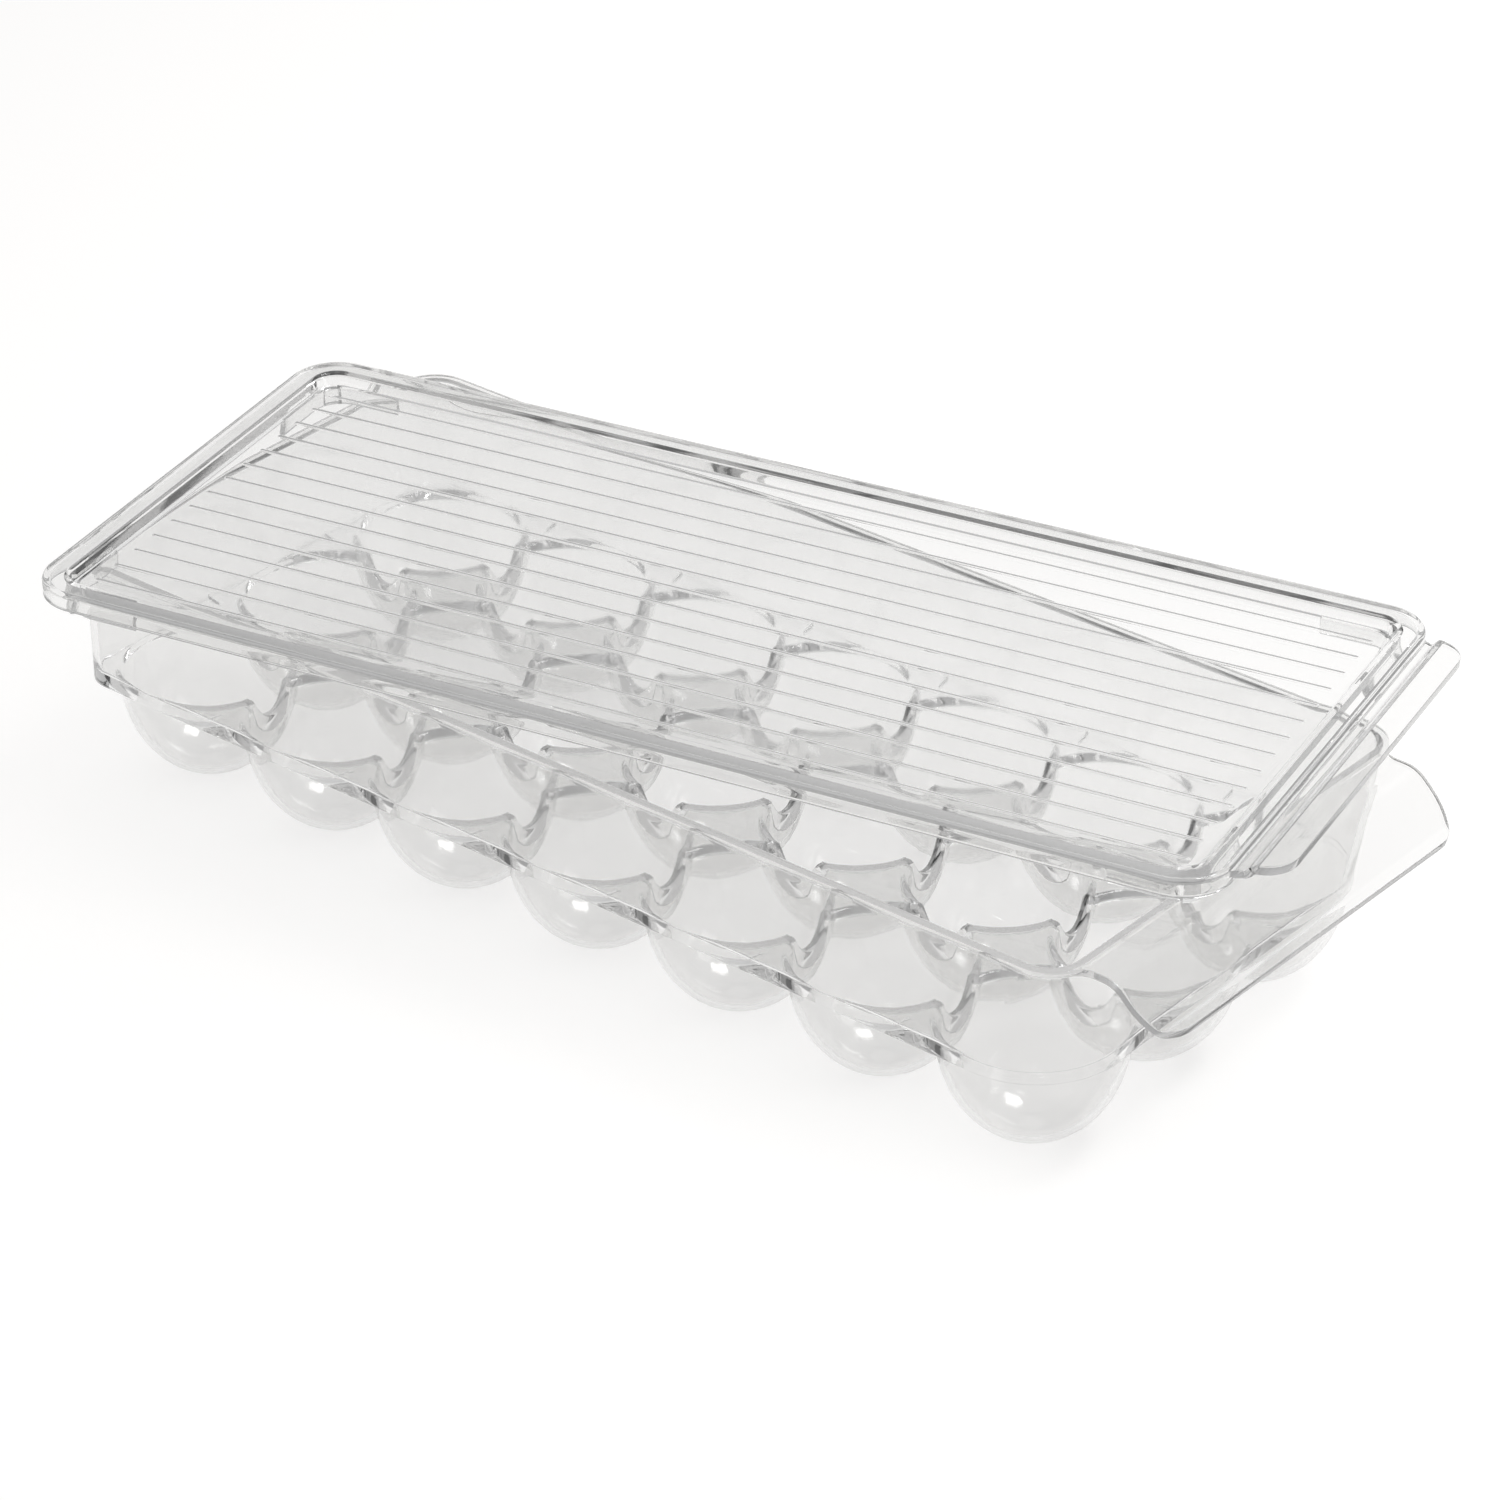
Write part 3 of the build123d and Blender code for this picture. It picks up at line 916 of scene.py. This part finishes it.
# ---- Floor, light and camera ----
paper = {
    "half": 16.0,
    "colour": (0.9, 0.892, 0.884, 1),
    "roughness": 0.9,
    "glowLeft": 0.21,           # its own light, left of the tray
    "glowRight": 0.24,          # and right of it
    "across": (0.77, 0.64, 0.0),        # from the left of the view to its right
    "acrossHalf": 0.28,
}


def paperMaterial():
    material = bpy.data.materials.new("white_paper")
    material.use_nodes = True
    tree = material.node_tree
    shader = tree.nodes["Principled BSDF"]
    shader.inputs["Base Color"].default_value = paper["colour"]
    shader.inputs["Roughness"].default_value = paper["roughness"]
    shader.inputs["Specular IOR Level"].default_value = 0.0
    shader.inputs["Emission Color"].default_value = (1, 1, 1, 1)
    place = addNode(tree, "ShaderNodeTexCoord")
    aside = addNode(tree, "ShaderNodeVectorMath", operation="DOT_PRODUCT")
    aside.inputs[1].default_value = Vector(paper["across"]).normalized()
    glow = addNode(tree, "ShaderNodeMapRange")
    glow.inputs["From Min"].default_value = -paper["acrossHalf"]
    glow.inputs["From Max"].default_value = paper["acrossHalf"]
    glow.inputs["To Min"].default_value = paper["glowLeft"]
    glow.inputs["To Max"].default_value = paper["glowRight"]
    # the glow is seen, also in and through the plastic, but lights nothing
    path = addNode(tree, "ShaderNodeLightPath")
    seen = anyOf(tree, *(path.outputs[name] for name in (
        "Is Camera Ray", "Is Glossy Ray", "Is Transmission Ray",
    )))
    lift = mathNode(tree, "MULTIPLY", glow.outputs["Result"], seen)
    tree.links.new(place.outputs["Object"], aside.inputs[0])
    tree.links.new(aside.outputs["Value"], glow.inputs["Value"])
    tree.links.new(lift, shader.inputs["Emission Strength"])
    return material


floorMesh = bmesh.new()
bmesh.ops.create_grid(floorMesh, x_segments=2, y_segments=2, size=paper["half"])
floorData = bpy.data.meshes.new("floor")
floorMesh.to_mesh(floorData)
floorMesh.free()
floorData.materials.append(paperMaterial())
floor = bpy.data.objects.new("floor", floorData)
bpy.context.scene.collection.objects.link(floor)

sky = {
    "strength": 0.64,
    "softbox": (-0.25, 0.8, 0.55),      # where it has its bright part
    "softboxCosines": (0.9, 0.985),
    "softboxShare": 1.5,        # how much brighter that is
    "towardCamera": (0.55, -0.66, 0.35),
    "cameraCosines": (0.3, 0.9),
    "cameraShare": 0.7,         # and how much darker the sky is behind the camera
    "horizon": 0.88,
    "horizonTop": 0.25,         # sine of the height at which the sky has its own tone
}


def studioSky():
    world = bpy.data.worlds.new("studio")
    world.use_nodes = True
    tree = world.node_tree
    background = tree.nodes["Background"]
    background.inputs["Color"].default_value = (1, 1, 1, 1)
    around = addNode(tree, "ShaderNodeTexCoord")

    def ramp(direction, cosines, low, high):
        # a number that changes from low to high as the sky turns towards a direction
        towards = addNode(tree, "ShaderNodeVectorMath", operation="DOT_PRODUCT")
        towards.inputs[1].default_value = Vector(direction).normalized()
        change = addNode(tree, "ShaderNodeMapRange", interpolation_type="SMOOTHSTEP")
        limits = zip(("From Min", "From Max", "To Min", "To Max"), (*cosines, low, high))
        for name, value in limits:
            change.inputs[name].default_value = value
        tree.links.new(around.outputs["Generated"], towards.inputs[0])
        tree.links.new(towards.outputs["Value"], change.inputs["Value"])
        return change.outputs["Result"]

    brightest = sky["strength"] * sky["softboxShare"]
    shade = mathNode(
        tree, "MULTIPLY",
        ramp(sky["softbox"], sky["softboxCosines"], sky["strength"], brightest),
        ramp(sky["towardCamera"], sky["cameraCosines"], 1.0, sky["cameraShare"]),
    )
    tone = addNode(tree, "ShaderNodeMix", data_type="FLOAT")
    first, second, result = mixSockets["FLOAT"]
    tone.inputs[first].default_value = sky["horizon"]
    height = ramp((0, 0, 1), (0.0, sky["horizonTop"]), 0.0, 1.0)
    tree.links.new(height, tone.inputs[0])
    tree.links.new(shade, tone.inputs[second])
    tree.links.new(tone.outputs[result], background.inputs["Strength"])
    return world


bpy.context.scene.world = studioSky()

lamps = {
    "key": {"place": (0.5, 0.6, 1.6), "size": 0.6, "power": 10.0},
    "fill": {"place": (1.4, 0.6, 1.2), "size": 0.9, "power": 4.0},
}
lampAim = Vector((0, 0, 0.05))      # the middle of the tray
for name, lamp in lamps.items():
    data = bpy.data.lights.new(name, "AREA")
    data.size = lamp["size"]
    data.energy = lamp["power"]
    light = bpy.data.objects.new(name, data)
    light.location = lamp["place"]
    light.rotation_euler = (lampAim - light.location).to_track_quat("-Z", "Y").to_euler()
    bpy.context.scene.collection.objects.link(light)

view = {
    "place": (0.8415, -0.9977, 0.8049),
    "right": (0.7708, 0.6371, -0.0048),
    "down": (0.3203, -0.3940, -0.8615),
    "lens": 134.65,
    "sensorWidth": 36.0,
}
cameraData = bpy.data.cameras.new("camera")
cameraData.sensor_width = view["sensorWidth"]
cameraData.sensor_fit = "HORIZONTAL"
cameraData.lens = view["lens"]
camera = bpy.data.objects.new("camera", cameraData)
right = Vector(view["right"]).normalized()
up = -Vector(view["down"])
up = (up - right * up.dot(right)).normalized()
turn = Matrix((right, up, right.cross(up))).transposed().to_4x4()
camera.matrix_world = Matrix.Translation(view["place"]) @ turn
bpy.context.scene.collection.objects.link(camera)
bpy.context.scene.camera = camera
bpy.context.scene.view_settings.view_transform = "Standard"
print("studio made")
